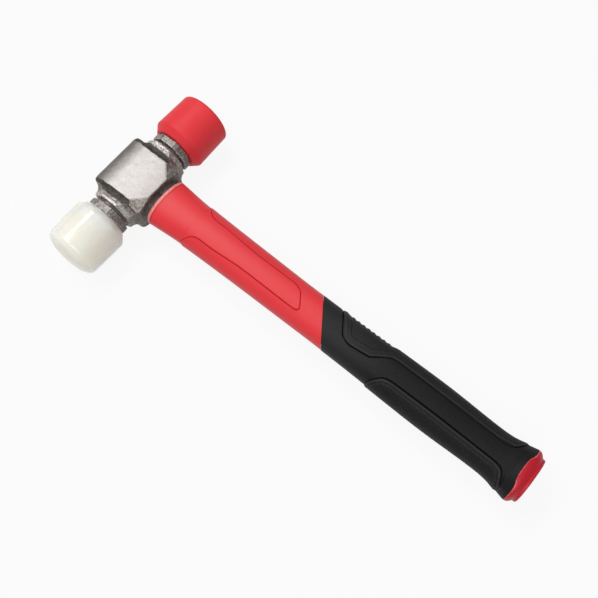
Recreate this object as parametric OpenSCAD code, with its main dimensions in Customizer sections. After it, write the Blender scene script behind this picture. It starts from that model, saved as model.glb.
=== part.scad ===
// Soft face hammer: a forged steel head with two screw-in faces on a jacketed fibreglass handle.
// It lies on its side. +X runs from the nylon face to the urethane face, the handle runs
// along -Y, and +Z leaves the upper cheek. Sizes are in millimetres.

/* [Head] */
// Length of the forged body along the striking axis
body_length = 36; // [33:0.5:40]
// Height of the forged body along the handle
body_height = 35; // [32:0.5:40]
// Thickness of the forged body from cheek to cheek
body_thick = 28; // [26.5:0.5:32]
// Radius with which the cheeks roll towards the top
roll_radius = 25; // [20:0.5:60]
// Distance from the striking axis to where the cheeks begin to roll
roll_start = 5; // [0:0.5:10]
// Bevel on the upright corners of the body
corner_bevel = 1.5; // [0.5:0.1:2.5]
// Length of the flat cheek along the striking axis
cheek_length = 31; // [28:0.5:32]
// Height of the corner facets along the cheek's side
facet_rise = 8.3; // [4:0.1:11]
// Reach of the corner facets along the cheek's lower edge
facet_reach = 8.6; // [4:0.1:11]
// Depth of the corner facets below the cheek
facet_drop = 5; // [2:0.1:8]
// Width across the flats of the eight-sided necks
neck_flats = 25.8; // [24.5:0.1:26.4]
// Length of the necks from the body to the groove
neck_length = 5.5; // [4.5:0.1:6.5]
// Radius of the concave flare from the neck into the body
flare_radius = 7; // [6.7:0.1:9]
// Radius of the cove that parts the cheek from the neck
cove_radius = 4.5; // [3.5:0.1:6]
// Depth of the cove below the flat of the neck
cove_depth = 0.7; // [0.3:0.1:1.5]
// Diameter at the bottom of the groove behind the ring
groove_dia = 22; // [18:0.5:23.5]
// Width of the groove behind the ring
groove_width = 1.7; // [1:0.1:3]
// Width across the flats of the eight-sided ring
ring_flats = 24.8; // [24:0.1:26]
// Diameter that trims the corners of the ring
ring_dia = 26; // [25:0.1:27]
// Width of the ring along the striking axis
ring_width = 4.6; // [3:0.1:6]

/* [Eye] */
// Width of the eye along the striking axis
eye_width = 19; // [18:0.1:20]
// Thickness of the eye from cheek to cheek
eye_thick = 14.5; // [13.5:0.1:16]
// Width of the collar round the eye, on the handle side
collar_width = 28.6; // [25:0.1:30]
// Thickness of the collar round the eye
collar_thick = 18; // [17:0.1:20]
// Height of the collar
collar_height = 2.3; // [1:0.1:4]

/* [Faces] */
// Diameter of each soft face at its shoulder
face_dia = 35; // [33:0.5:40]
// Diameter of the side at the rim, after the moulding taper
face_rim_dia = 33.8; // [31:0.1:35]
// Diameter of the back of each face, at the ring
face_back_dia = 28; // [26:0.5:31]
// Length of the bevel between the back and the shoulder
face_bevel = 4.2; // [2:0.1:7]
// Length of the nylon face's tapered side
nylon_side = 21.5; // [15:0.1:32]
// Length of the urethane face's tapered side
urethane_side = 22.3; // [15:0.1:32]
// Rounding of the nylon face's striking edge
nylon_edge = 4.2; // [1:0.1:6]
// Rounding of the urethane face's striking edge
urethane_edge = 2.4; // [1:0.1:6]
// Rise of the nylon face's crowned striking surface
nylon_crown = 2.2; // [0.3:0.1:4]
// Rise of the urethane face's crowned striking surface
urethane_crown = 0.9; // [0.3:0.1:4]
// Gap between a tightened face and its ring
face_gap = 0.3; // [0.1:0.05:0.5]

/* [Studs] */
// Diameter of the threaded studs
stud_dia = 12; // [8:0.5:14]
// Length of stud held in the head
stud_in_head = 15.5; // [12:0.1:16]
// Length of stud held in the face
stud_in_face = 16; // [12:0.1:20]
// Radial clearance round a stud
stud_fit = 0.05; // [0.02:0.01:0.09]
// Room left at each end of a stud
stud_end_room = 0.8; // [0.5:0.1:1.5]

/* [Shaft core] */
// Width of the fibreglass core along the striking axis
core_width = 15; // [13:0.1:15.6]
// Thickness of the fibreglass core
core_thick = 10.5; // [9:0.1:11]
// Depth of the core's end below the top of the head
core_recess = 1; // [0.5:0.1:4]
// Gap on each side of the epoxy that fills the eye
bond_gap = 0.05; // [0.02:0.01:0.2]
// Clearance between the core and the jacket
core_fit = 0.15; // [0.1:0.05:0.3]

/* [Jacket] */
// Gap between the jacket and the collar
rim_gap = 0.2; // [0.1:0.05:0.5]
// Length of the red jacket on the handle's axis, from its rim to the grip
jacket_length = 118; // [108:1:140]
// Width of the jacket at its rim
rim_width = 31.2; // [29:0.1:34]
// Thickness of the jacket at its rim
rim_thick = 20.6; // [19:0.1:23]
// Rounding of the rim
rim_edge = 0.6; // [0.3:0.1:1.5]
// Width of the jacket where its side bands begin
shoulder_width = 27.3; // [26:0.1:30]
// Thickness of the jacket where its side bands begin
shoulder_thick = 20; // [19:0.1:22]
// Width of the jacket at the grip, without the bands
waist_width = 24.3; // [23.5:0.1:27]
// Thickness of the jacket at the grip, without the bands
waist_thick = 19.4; // [19:0.1:21]
// Distance from the rim to the start of the side bands
band_start = 24.5; // [18:0.5:30]
// Height of the raised side bands
band_height = 0.45; // [0.2:0.05:0.8]
// Length of the panel between the side bands
panel_length = 78; // [60:1:80]
// Width of the panel at its wide end
panel_front_width = 15.2; // [13:0.1:18]
// Width of the panel along its straight part
panel_rear_width = 12.2; // [9:0.1:14]
// Length of stretch over which the side bands run in from the edge
band_run = 9; // [6:0.1:12]

/* [Grip] */
// Slope of the slanted joint between jacket and grip
joint_slope = 0.718; // [0.3:0.01:0.9]
// Gap in the slanted joint
joint_gap = 0.15; // [0.1:0.05:0.3]
// Length of the grip on the handle's axis
grip_length = 131.6; // [126:0.2:160]
// Width of the grip behind the joint, without the pads
front_width = 25.4; // [24.5:0.1:28]
// Thickness of the grip behind the joint, without the pads
front_thick = 20.2; // [19.5:0.1:23]
// Width of the grip at the palm swell
palm_width = 26.9; // [25:0.1:32]
// Thickness of the grip at the palm swell
palm_thick = 22.2; // [20.5:0.1:26]
// Distance from the joint to the palm swell
palm_at = 76; // [70:1:84]
// Width of the grip at the hollow before the butt
hollow_width = 25.1; // [24:0.1:30]
// Thickness of the grip at the hollow
hollow_thick = 20.6; // [19.5:0.1:24]
// Distance from the grip's end back to the hollow
hollow_back = 24.6; // [18:0.1:30]
// Width of the grip at its flared end
butt_width = 31.9; // [29:0.1:38]
// Thickness of the grip at its flared end
butt_thick = 25.6; // [23:0.1:32]
// Height of the raised pads
pad_height = 0.65; // [0.3:0.05:1.2]
// Height of the pads beside their grooves, where they are bevelled
pad_edge_height = 0.2; // [0.1:0.05:1]
// Distance from the joint to the front of the upper pad
pad_front = 14.4; // [9:0.1:15]
// Run over which the upper pad's front corner rounds over at the edge
pad_corner = 3; // [1:0.1:5]
// Distance that the upper pad's front part reaches across the middle
pad_overlap = 3.7; // [1:0.1:6]
// Distance from the joint to where the upper pad draws back
pad_return = 33; // [30:0.5:38]
// Distance from the joint to the front of the lower pad
lower_pad_front = 36; // [32:0.5:40]
// Width of the smooth channel between the pads
channel_width = 10.8; // [7:0.1:14]
// Distance from the grip's end back to the end of the pads
pad_back = 5.4; // [4:0.1:8]
// Depth of the grooves round the panel and the pads
line_depth = 0.5; // [0.15:0.05:0.6]
// Width of the grooves round the panel and the pads
line_width = 0.9; // [0.6:0.1:1.8]
// Distance from the joint to the first rib, along the upper edge
rib_start = 11; // [9:0.5:13]
// Number of ribs on the upper edge
rib_count = 8; // [5:1:8]
// Spacing of the ribs
rib_pitch = 3.45; // [2.5:0.05:3.5]
// Height of the ribs
rib_height = 0.65; // [0.2:0.05:0.9]
// Depth of the recess that the ribs stand in
rib_recess = 1; // [0.2:0.05:1.2]

/* [Tang and cap] */
// Width of the jacket's tang inside the grip
tang_width = 20; // [18.5:0.1:21]
// Thickness of the jacket's tang inside the grip
tang_thick = 15; // [14.2:0.1:16]
// Clearance between the tang and the grip
tang_fit = 0.1; // [0.05:0.05:0.2]
// Height of the cap's tongue on each broad side
tongue_height = 2.2; // [1:0.1:3.5]
// Width of the tongue
tongue_width = 15; // [10:0.5:18]
// Gap between the grip and the cap
cap_gap = 0.15; // [0.1:0.05:0.3]
// Length of the cap at the handle's edge, with its end crown
cap_length = 6.2; // [5:0.1:12]
// Width of the cap's end disc
disc_width = 26.7; // [23:0.1:29]
// Thickness of the cap's end disc
disc_thick = 21.4; // [18:0.1:23]
// Rise of the cap's end crown
cap_crown = 0.5; // [0.2:0.1:1]

/* [Hidden] */
$fn = 96;
// Overlap that lets cuts and unions run past a face
over = 1;
// Depth to which the flares of the necks run on inside the body's end walls
sink = 0.2;

// Stations along the striking axis, out from the eye
wall_x = body_length / 2;
neck_x = wall_x + neck_length;
ring_x = neck_x + groove_width;
ring_end_x = ring_x + ring_width;
face_x = ring_end_x + face_gap;
stud_x = ring_end_x - stud_in_head;
stud_end_x = face_x + stud_in_face;

// Stations down the handle from the striking axis
u_rim = body_height / 2 + collar_height + rim_gap;
u_bands = u_rim + band_start;
u_panel_end = u_bands + panel_length;
u_joint = u_rim + jacket_length;
u_pad = u_joint + pad_front;
u_end = u_joint + grip_length;
u_pads_end = u_end - pad_back;
u_tang = u_end - tongue_height - cap_gap;
u_cap = u_end + cap_gap;
u_tip = u_cap + cap_length;

// Roundness of the handle's sections: 2 is an ellipse, more is squarer
section_power = 2.25;
// Columns of each section: on each outer zone and across the middle
edge_columns = 8;
middle_columns = 6;
column_count = 4 * edge_columns + 2 * middle_columns + 4;
// Angle of a groove line that has run out to the edge
edge_angle = 12;
line_angle = 2 * asin(line_width / 2 / waist_width);

// Place of the striking axis over the floor, with the origin under the middle of the hammer
nylon_reach = nylon_side + nylon_edge + nylon_crown;
urethane_reach = urethane_side + urethane_edge + urethane_crown;
face_difference = nylon_reach - urethane_reach;
place = [face_difference / 2, (u_tip - body_height / 2) / 2, face_dia / 2];

// Curves and sections of the handle

function ease(t) = t <= 0 ? 0 : t >= 1 ? 1 : t * t * (3 - 2 * t);
function ramp(u, from, to) = ease((u - from) / (to - from));

// Smooth curve through [station, value] points, with slopes taken from the neighbours
function span(u, points, i = 0) =
    i >= len(points) - 2 || u < points[i + 1][0] ? i : span(u, points, i + 1);
function slope(points, i) =
    let (a = max(i - 1, 0), b = min(i + 1, len(points) - 1))
    (points[b][1] - points[a][1]) / (points[b][0] - points[a][0]);
function curve(u, points) =
    let (
        i = span(u, points),
        h = points[i + 1][0] - points[i][0],
        t = min(max((u - points[i][0]) / h, 0), 1)
    )
    points[i][1] * (1 + 2 * t) * (1 - t) * (1 - t)
    + points[i + 1][1] * t * t * (3 - 2 * t)
    + h * slope(points, i) * t * (1 - t) * (1 - t)
    - h * slope(points, i + 1) * t * t * (1 - t);

function signed_power(v, p) = sign(v) * pow(abs(v), p);
function section(a, b, angle) =
    [a * signed_power(cos(angle), 2 / section_power), b * signed_power(sin(angle), 2 / section_power)];
function angle_at(x, a) =
    let (angle = acos(signed_power(max(min(x / a, 1), -1), section_power / 2)))
    max(edge_angle, min(180 - edge_angle, angle));

// One section's columns as [angle, zone], from the upper edge over the top and round.
// Zones: 0 upper edge, 1 upper groove, 2 middle, 3 lower groove, 4 lower edge,
// and 5 and 6 the borders of the upper and the lower edge beside their grooves.
function top_columns(upper, lower) = concat(
    [for (i = [0 : edge_columns - 1])
        [(upper - line_angle) * i / (edge_columns - 1), i == edge_columns - 1 ? 5 : 0]],
    [[upper, 1]],
    [for (i = [0 : middle_columns])
        [upper + line_angle + (lower - upper - 2 * line_angle) * i / middle_columns, 2]],
    [[lower, 3]],
    [for (i = [0 : edge_columns - 1])
        [lower + line_angle + (180 - lower - line_angle) * i / (edge_columns - 1), i == 0 ? 6 : 4]]
);
function columns(upper, lower) =
    let (top = top_columns(upper, lower))
    concat(top, [for (i = [len(top) - 2 : -1 : 1]) [-top[i][0], top[i][1]]]);

function plain_ring(a, b, u, slant, tongue) =
    [for (i = [0 : column_count - 1])
        let (p = section(a, b, 360 * i / column_count))
        [p[0], -(u - slant * p[0] - tongue * tongue_shape(p[0])), p[1]]];

// Outline of the cap's tongue across the handle: 1 on the tongue and 0 beside it
function tongue_shape(x) = 1 - ramp(abs(x), tongue_width / 2 - 1, tongue_width / 2 + 1.5);

// Jacket: half sizes, slant, groove lines and relief

function jacket_a(u) = curve(u, [[u_rim, rim_width / 2], [u_bands, shoulder_width / 2],
    [u_panel_end, waist_width / 2 + 0.05], [u_joint + 15, waist_width / 2]]);
function jacket_b(u) = curve(u, [[u_rim, rim_thick / 2], [u_bands, shoulder_thick / 2],
    [u_panel_end, waist_thick / 2], [u_joint + 15, waist_thick / 2 + 0.1]]);
function jacket_slant(u) = joint_slope * ramp(u, u_panel_end - 40, u_panel_end + 4);
function panel_upper(u) = curve(u, [[u_bands, shoulder_width / 2],
    [u_bands + band_run * 0.8, panel_front_width / 2 + 0.4],
    [u_bands + band_run * 2, panel_front_width / 2], [u_bands + 40, panel_rear_width / 2],
    [u_panel_end - 5, panel_rear_width / 2], [u_panel_end - 2, panel_rear_width / 2 - 0.9],
    [u_panel_end, panel_rear_width / 2 - 2.6]]);
function panel_lower(u) = -curve(u, [[u_bands, shoulder_width / 2],
    [u_bands + band_run * 0.8, panel_front_width / 2 + 0.4],
    [u_bands + band_run * 2, panel_front_width / 2], [u_bands + 40, panel_rear_width / 2],
    [u_panel_end - 4, panel_rear_width / 2], [u_panel_end - 1.4, panel_rear_width / 2 - 0.7],
    [u_panel_end, panel_rear_width / 2 - 2.3]]);
function jacket_relief(u, zone) =
    let (
        banded = ramp(u, u_bands, u_bands + line_width),
        closed = ramp(u, u_panel_end, u_panel_end + line_width / 2),
        ending = max(0, 1 - abs(u - u_panel_end) / (line_width / 2))
    )
    zone == 2 ? band_height * closed - line_depth * ending
    : zone == 1 || zone == 3 ? -line_depth * banded * (1 - closed) + band_height * closed
    : band_height * banded;
function jacket_ring(u, trim = 0) =
    let (
        a = jacket_a(u) - trim,
        b = jacket_b(u) - trim,
        upper = angle_at(panel_upper(u), a),
        lower = angle_at(panel_lower(u), a)
    )
    [for (c = columns(upper, lower))
        let (r = jacket_relief(u, c[1]), p = section(a + r, b + r, c[0]))
        [p[0], -(u - jacket_slant(u) * p[0]), p[1]]];
jacket_stations = concat(
    [for (d = [rim_edge, 2, 6, 10.5, 15, 20]) u_rim + d],
    [for (d = [0, 0.5, 1, 2.2, 3.6, 5.2, 7, 9, 12]) u_bands + d * band_run / 9],
    [for (i = [1 : 9]) u_bands + 12 * band_run / 9 + (panel_length - 8 - 12 * band_run / 9) * i / 9],
    [for (d = [-6.5, -5, -3.6, -2.4, -1.4]) u_panel_end + d],
    [for (d = [-0.5, 0, 0.5]) u_panel_end + d * line_width],
    [for (i = [1 : 4]) u_panel_end + line_width + (u_joint - u_panel_end - line_width) * i / 4]
);

// Round-ended bore for the core
function bore_ring(u) =
    let (r = core_thick / 2 + core_fit, half = (core_width - core_thick) / 2)
    [for (i = [0 : column_count - 1])
        let (angle = 360 * i / column_count, c = cos(angle))
        [(abs(c) < 0.001 ? 0 : sign(c) * half) + r * c, -u, r * sin(angle)]];
function tang_ring(u, slant) = plain_ring(tang_width / 2, tang_thick / 2, u, slant, 0);

// Grip: half sizes, slant, groove lines and relief

function grip_a(u) = curve(u, [[u_joint, front_width / 2], [u_joint + 25, front_width / 2 + 0.15],
    [u_joint + palm_at, palm_width / 2], [u_end - hollow_back, hollow_width / 2],
    [u_end - hollow_back * 0.55, hollow_width / 2 + 0.3],
    [u_pads_end, 0.19 * hollow_width + 0.31 * butt_width], [u_end, butt_width / 2]]);
function grip_b(u) = curve(u, [[u_joint, front_thick / 2], [u_joint + 25, front_thick / 2 + 0.1],
    [u_joint + palm_at, palm_thick / 2], [u_end - hollow_back, hollow_thick / 2],
    [u_end - hollow_back * 0.55, hollow_thick / 2 + 0.3],
    [u_pads_end, 0.19 * hollow_thick + 0.31 * butt_thick], [u_end, butt_thick / 2]]);
// The slanted sections turn square over this stretch
slant_end = u_joint + 47;
slant_fade = slant_end - u_pad - 2;
function grip_slant(u) = joint_slope * max(0, min(1, (slant_end - u) / slant_fade));
function pads_upper(u) = curve(u, [[u_pad, 1.9 - pad_overlap], [u_pad + 1.5, 0.7 - pad_overlap],
    [u_pad + 4.5, -pad_overlap],
    [u_joint + pad_return, -pad_overlap + 1.4], [u_joint + pad_return + 11.4, channel_width / 2 - 0.2],
    [u_joint + pad_return + 17, channel_width / 2], [u_pads_end - 14, channel_width / 2],
    [u_pads_end - 5, channel_width / 2 + 1.6], [u_pads_end, butt_width / 2 - 2.4]]);
function pads_lower(u) = -curve(u, [[u_joint + lower_pad_front, front_width / 2 + 0.5],
    [u_joint + lower_pad_front + 6, channel_width / 2 + 3.8],
    [u_joint + lower_pad_front + 10.5, channel_width / 2 + 0.9],
    [u_joint + lower_pad_front + 16, channel_width / 2], [u_pads_end - 10, channel_width / 2],
    [u_pads_end - 4, channel_width / 2 + 1.6], [u_pads_end, butt_width / 2 - 2.4]]);
// Where a rib's place at the upper edge lies before the sections are slanted
edge_lean = joint_slope * front_width / 2 / slant_fade;
function at_edge(u) = (u + edge_lean * slant_end) / (1 + edge_lean);
u_ribs = u_joint + rib_start;
u_ribs_end = u_ribs + rib_count * rib_pitch;
function rib(u) = u < u_ribs || u > u_ribs_end ? 0 : (1 - cos(360 * (u - u_ribs) / rib_pitch)) / 2;
function rib_zone(u) = ramp(u, u_ribs - 2, u_ribs) * (1 - ramp(u, u_ribs_end, u_ribs_end + 2));
function upper_relief(u, angle, edge_u, height) =
    let (
        on_edge = 1 - ramp(abs(angle), 30, 52),
        ribs = rib_height * rib(edge_u) - rib_recess * rib_zone(edge_u),
        rounded = 1 - on_edge * (1 - ramp(u, u_pad, u_pad + pad_corner)),
        lip = 1 - ramp(u, u_pad, u_pad + 3),
        ending = 1 - ramp(u, u_pads_end - 1, u_pads_end)
    )
    u < u_pad ? -line_depth * ramp(u, u_pad - line_width, u_pad - line_width / 2)
    : ending * ((height + 0.2 * lip) * rounded + on_edge * ribs);
function lower_relief(u, height) =
    height * ramp(u, u_joint + lower_pad_front, u_joint + lower_pad_front + 1)
    * (1 - ramp(u, u_pads_end - 1, u_pads_end));
function groove_relief(u, from) =
    -line_depth * ramp(u, from, from + line_width) * (1 - ramp(u, u_pads_end - 1, u_pads_end));
function grip_ring(u) =
    let (
        a = grip_a(u),
        b = grip_b(u),
        upper = angle_at(pads_upper(u), a),
        lower = angle_at(pads_lower(u), a),
        tongue = tongue_height * ramp(u, u_pads_end + 1, u_end),
        edge_u = u - grip_slant(u) * front_width / 2
    )
    [for (c = columns(upper, lower))
        let (
            zone = c[1],
            r = zone == 0 ? upper_relief(u, c[0], edge_u, pad_height)
                : zone == 1 ? groove_relief(u, u_pad - line_width)
                : zone == 3 ? groove_relief(u, u_joint + lower_pad_front)
                : zone == 4 ? lower_relief(u, pad_height)
                : zone == 5 ? upper_relief(u, c[0], edge_u, pad_edge_height)
                : zone == 6 ? lower_relief(u, pad_edge_height) : 0,
            p = section(a + r, b + r, c[0])
        )
        [p[0], -(u - grip_slant(u) * p[0] - tongue * tongue_shape(p[0])), p[1]]];
grip_stations = concat(
    [u_joint + joint_gap],
    [for (part = [0.29, 0.57, 0.79]) u_joint + part * pad_front],
    [for (d = [-line_width, -line_width / 2, 0, 0.6, 1.4, 2.4]) u_pad + d],
    [for (i = [0 : 4 * rib_count]) at_edge(u_ribs + i * rib_pitch / 4)],
    [for (i = [1 : 5]) let (u = at_edge(u_ribs_end)) u + (u_joint + 53 - u) * i / 5],
    [for (i = [1 : 9]) u_joint + 53 + (u_pads_end - 15 - u_joint - 53) * i / 9],
    [for (d = [-12, -9, -6.5, -4.4, -2.6, -1, 0, 0.8, 2.4]) u_pads_end + d],
    [(u_pads_end + 2.4 + u_end) / 2, u_end]
);
function grip_bore(u, slant, tongue) =
    plain_ring(tang_width / 2 + tang_fit, tang_thick / 2 + tang_fit, u, slant, tongue);

// Cap: its front copies the end of the grip, then it rounds over a bead to the end disc

end_columns = columns(
    angle_at(pads_upper(u_end), grip_a(u_end)),
    angle_at(pads_lower(u_end), grip_a(u_end))
);
function cap_ring(u, a, b, tongue) =
    [for (c = end_columns)
        let (p = section(a, b, c[0]))
        [p[0], -(u - tongue * tongue_shape(p[0])), p[1]]];
function cap_step(part, along, keep) = cap_ring(u_cap + along * (cap_length - cap_crown),
    disc_width / 2 + (butt_width - disc_width) / 2 * part,
    disc_thick / 2 + (butt_thick - disc_thick) / 2 * part, tongue_height * keep);
cap_rings = concat(
    [grip_bore(u_cap, 0, tongue_height)],
    [for (s = [[0.97, 0, 1], [1, 0.07, 0.95], [0.94, 0.26, 0.75], [0.75, 0.4, 0.55], [0.45, 0.53, 0.3],
        [0.08, 0.66, 0.1], [0, 0.73, 0], [0, 0.93, 0], [-0.15, 1, 0]]) cap_step(s[0], s[1], s[2])]
);

// Solids from rings of points

// Walls between rings; the strip with the number turned has its diagonals the other way
function side_faces(n, m, closed, turned = -1) = [
    for (i = [0 : closed ? m - 1 : m - 2], j = [0 : n - 1])
        let (
            a = i * n + j,
            b = i * n + (j + 1) % n,
            c = (i + 1) % m * n + j,
            d = (i + 1) % m * n + (j + 1) % n
        )
        each i == turned ? [[a, c, b], [c, d, b]] : [[a, d, b], [a, c, d]]];
module sleeve(rings) {
    polyhedron(
        points = [for (ring = rings) each ring],
        faces = side_faces(len(rings[0]), len(rings), true)
    );
}
module plug(rings, front, back) {
    n = len(rings[0]);
    m = len(rings);
    polyhedron(
        points = concat([for (ring = rings) each ring], [front, back]),
        faces = concat(
            side_faces(n, m, false, 0),
            [for (j = [0 : n - 1]) [n * m, j, (j + 1) % n]],
            [for (j = [0 : n - 1]) [n * m + 1, n * (m - 1) + (j + 1) % n, n * (m - 1) + j]]
        )
    );
}

// Shapes of the head

module along_x(from, to) {
    translate([from, 0, 0]) rotate([90, 0, 90]) linear_extrude(to - from) children();
}
module along_y(from, to) {
    translate([0, to, 0]) rotate([90, 0, 0]) linear_extrude(to - from) children();
}
module round_bar(width, thick) {
    square([width - thick, thick], center = true);
    for (s = [-1, 1]) translate([s * (width - thick) / 2, 0]) circle(d = thick);
}
// The body seen on the cheek: a block with bevelled corners
module body_plan() {
    w = body_length / 2;
    h = body_height / 2;
    c = corner_bevel;
    polygon([
        [-w + c, -h], [w - c, -h], [w, -h + c], [w, h - c],
        [w - c, h], [-w + c, h], [-w, h - c], [-w, -h + c]
    ]);
}
// The body seen along the striking axis: flat cheeks that roll gently towards the top
module body_side() {
    h = body_height / 2;
    t = body_thick / 2;
    translate([-h, -t]) square([h + roll_start, body_thick]);
    intersection() {
        translate([roll_start - over, -t]) square([h - roll_start + over, body_thick]);
        translate([roll_start, t - roll_radius]) circle(roll_radius);
        translate([roll_start, roll_radius - t]) circle(roll_radius);
    }
}
// Flat cut through three points of the body's corner
module facet_cut(side, face) {
    t = body_thick / 2;
    edge = [side * cheek_length / 2, -body_height / 2 + facet_rise, face * t];
    low = [side * (cheek_length / 2 - facet_reach), -body_height / 2, face * t];
    tip = [side * wall_x, -body_height / 2, face * (t - facet_drop)];
    n = cross(low - edge, tip - edge) * side * face;
    z = n / norm(n) * (n * [side, -1, face] > 0 ? 1 : -1);
    x = (low - edge) / norm(low - edge);
    y = cross(z, x);
    reach = body_length;
    multmatrix([for (i = [0 : 2]) [x[i], y[i], z[i], edge[i]]])
        translate([-reach, -reach, 0]) cube([2 * reach, 2 * reach, reach]);
}
// The forged block with its four corner facets on each cheek's handle side
module body() {
    difference() {
        intersection() {
            linear_extrude(body_thick, center = true) body_plan();
            along_x(-wall_x, wall_x) body_side();
        }
        for (side = [-1, 1], face = [-1, 1]) facet_cut(side, face);
    }
}
module eight_sided(flats, from, to) {
    translate([from, 0, 0]) rotate([0, 90, 0]) rotate(22.5)
        cylinder(d = flats / cos(22.5), h = to - from, $fn = 8);
}
// One neck: eight concave flats that flare into the body's end wall, then a groove and a ring
module neck() {
    r = neck_flats / 2;
    reach = neck_length + sink;
    rise = flare_radius - sqrt(pow(flare_radius, 2) - pow(reach, 2));
    difference() {
        eight_sided(2 * (r + rise), wall_x - over, neck_x);
        for (turn = [0 : 45 : 315]) rotate([turn, 0, 0]) translate([neck_x, 0, r + flare_radius])
            rotate([90, 0, 0]) cylinder(r = flare_radius, h = 2 * body_height, center = true);
    }
    translate([neck_x - over, 0, 0]) rotate([0, 90, 0])
        cylinder(d = groove_dia, h = groove_width + 2 * over);
    intersection() {
        eight_sided(ring_flats, ring_x, ring_end_x);
        translate([ring_x, 0, 0]) rotate([0, 90, 0]) cylinder(d = ring_dia, h = ring_width);
    }
}
// Coves between the cheeks and the neck
module coves() {
    bottom = neck_flats / 2 - cove_depth;
    height = bottom + cove_radius;
    x = cheek_length / 2 + sqrt(max(0, pow(cove_radius, 2) - pow(height - body_thick / 2, 2)));
    for (s = [-1, 1]) translate([x, 0, s * height])
        rotate([90, 0, 0]) cylinder(r = cove_radius, h = 2 * body_height, center = true);
}

// Shape of a soft face, as a half section: radius across, distance from the ring upwards

module face_section(side_length, edge, crown) {
    rim = face_rim_dia / 2;
    side_end = face_bevel + side_length;
    flat = rim - edge;
    crown_radius = (flat * flat + crown * crown) / 2 / crown;
    polygon([[0, 0], [face_back_dia / 2, 0], [face_dia / 2, face_bevel], [rim, side_end], [0, side_end]]);
    translate([flat, side_end]) intersection() {
        circle(edge);
        square(edge);
    }
    translate([0, side_end]) square([flat, edge]);
    translate([0, side_end + edge]) intersection() {
        translate([0, crown - crown_radius]) circle(crown_radius);
        square([flat, crown]);
    }
}
module soft_face(side_length, edge, crown) {
    difference() {
        translate([face_x, 0, 0]) rotate([0, 90, 0])
            rotate_extrude() face_section(side_length, edge, crown);
        translate([face_x - over, 0, 0]) rotate([0, 90, 0])
            cylinder(r = stud_dia / 2 + stud_fit, h = stud_in_face + stud_end_room + over);
    }
}
module stud() {
    translate([stud_x, 0, 0]) rotate([0, 90, 0]) cylinder(d = stud_dia, h = stud_end_x - stud_x);
}

// Pieces

module head() {
    color("silver") translate(place) difference() {
        union() {
            difference() {
                union() {
                    body();
                    for (m = [0, 1]) mirror([m, 0, 0]) neck();
                }
                for (m = [0, 1]) mirror([m, 0, 0]) coves();
            }
            along_y(-body_height / 2 - collar_height, -body_height / 2 + over)
                round_bar(collar_width, collar_thick);
        }
        along_y(-body_height, body_height) round_bar(eye_width, eye_thick);
        for (m = [0, 1]) mirror([m, 0, 0]) translate([stud_x - stud_end_room, 0, 0]) rotate([0, 90, 0])
            cylinder(r = stud_dia / 2 + stud_fit, h = stud_in_head + stud_end_room + over);
    }
}
module nylon_face() {
    color("ivory") translate(place) mirror([1, 0, 0]) soft_face(nylon_side, nylon_edge, nylon_crown);
}
module nylon_face_stud() { color("gray") translate(place) mirror([1, 0, 0]) stud(); }
module urethane_face() {
    color("crimson") translate(place) soft_face(urethane_side, urethane_edge, urethane_crown);
}
module urethane_face_stud() { color("gray") translate(place) stud(); }
module shaft_core() {
    color("khaki") translate(place)
        along_y(-u_tang, body_height / 2 - core_recess) round_bar(core_width, core_thick);
}
module eye_epoxy() {
    color("darkgoldenrod") translate(place)
        along_y(-body_height / 2 - collar_height, body_height / 2 - core_recess) difference() {
            round_bar(eye_width - 2 * bond_gap, eye_thick - 2 * bond_gap);
            round_bar(core_width + 2 * bond_gap, core_thick + 2 * bond_gap);
        }
}
module shaft_jacket() {
    color("red") translate(place) sleeve(concat(
        [jacket_ring(u_rim, rim_edge)],
        [for (u = jacket_stations) jacket_ring(u)],
        [tang_ring(u_joint, joint_slope), tang_ring(slant_end, 0), tang_ring(u_tang, 0)],
        [bore_ring(u_tang), bore_ring(u_rim)]
    ));
}
module grip() {
    color("dimgray") translate(place) sleeve(concat(
        [for (u = grip_stations) grip_ring(u)],
        [grip_bore(u_end, 0, tongue_height), grip_bore(slant_end, 0, 0)],
        [grip_bore(u_joint + joint_gap, joint_slope, 0)]
    ));
}
module butt_cap() {
    color("firebrick") translate(place)
        plug(cap_rings, [0, -(u_cap - tongue_height), 0], [0, -u_tip, 0]);
}

head();
nylon_face();
nylon_face_stud();
urethane_face();
urethane_face_stud();
shaft_core();
eye_epoxy();
shaft_jacket();
grip();
butt_cap();
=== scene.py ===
import math

import bpy
import numpy as np
from mathutils import Matrix, Vector


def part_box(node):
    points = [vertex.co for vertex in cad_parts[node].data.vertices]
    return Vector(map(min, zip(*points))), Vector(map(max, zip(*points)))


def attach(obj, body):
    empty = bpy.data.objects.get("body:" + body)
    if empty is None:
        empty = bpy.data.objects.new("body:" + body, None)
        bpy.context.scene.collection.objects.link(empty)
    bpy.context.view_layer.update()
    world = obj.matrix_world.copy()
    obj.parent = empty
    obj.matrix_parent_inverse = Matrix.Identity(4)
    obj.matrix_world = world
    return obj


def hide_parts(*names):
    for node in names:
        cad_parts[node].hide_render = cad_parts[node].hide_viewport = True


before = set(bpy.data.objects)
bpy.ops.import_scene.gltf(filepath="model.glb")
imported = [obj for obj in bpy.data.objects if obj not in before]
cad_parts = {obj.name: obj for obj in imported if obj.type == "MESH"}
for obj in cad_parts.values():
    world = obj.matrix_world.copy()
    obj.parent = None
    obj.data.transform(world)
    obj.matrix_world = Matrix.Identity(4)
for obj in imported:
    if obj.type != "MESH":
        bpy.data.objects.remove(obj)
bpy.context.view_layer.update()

# Head: a drop-forged steel body with two eight-sided necks. It is blasted to a dark satin grey,
# its two cheeks are ground bright, and its edges keep the soft, wavy run of the forging.
head_voxel = 0.00038
wave_height = 0.00022
wave_length = 0.0045
bore_radius = 0.00605
eye_half_width = 0.0095
eye_half_thick = 0.00725
hole_margin = 0.0003
weld_reach = 0.000002
stud_low, stud_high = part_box("nylon_face_stud")
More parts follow.
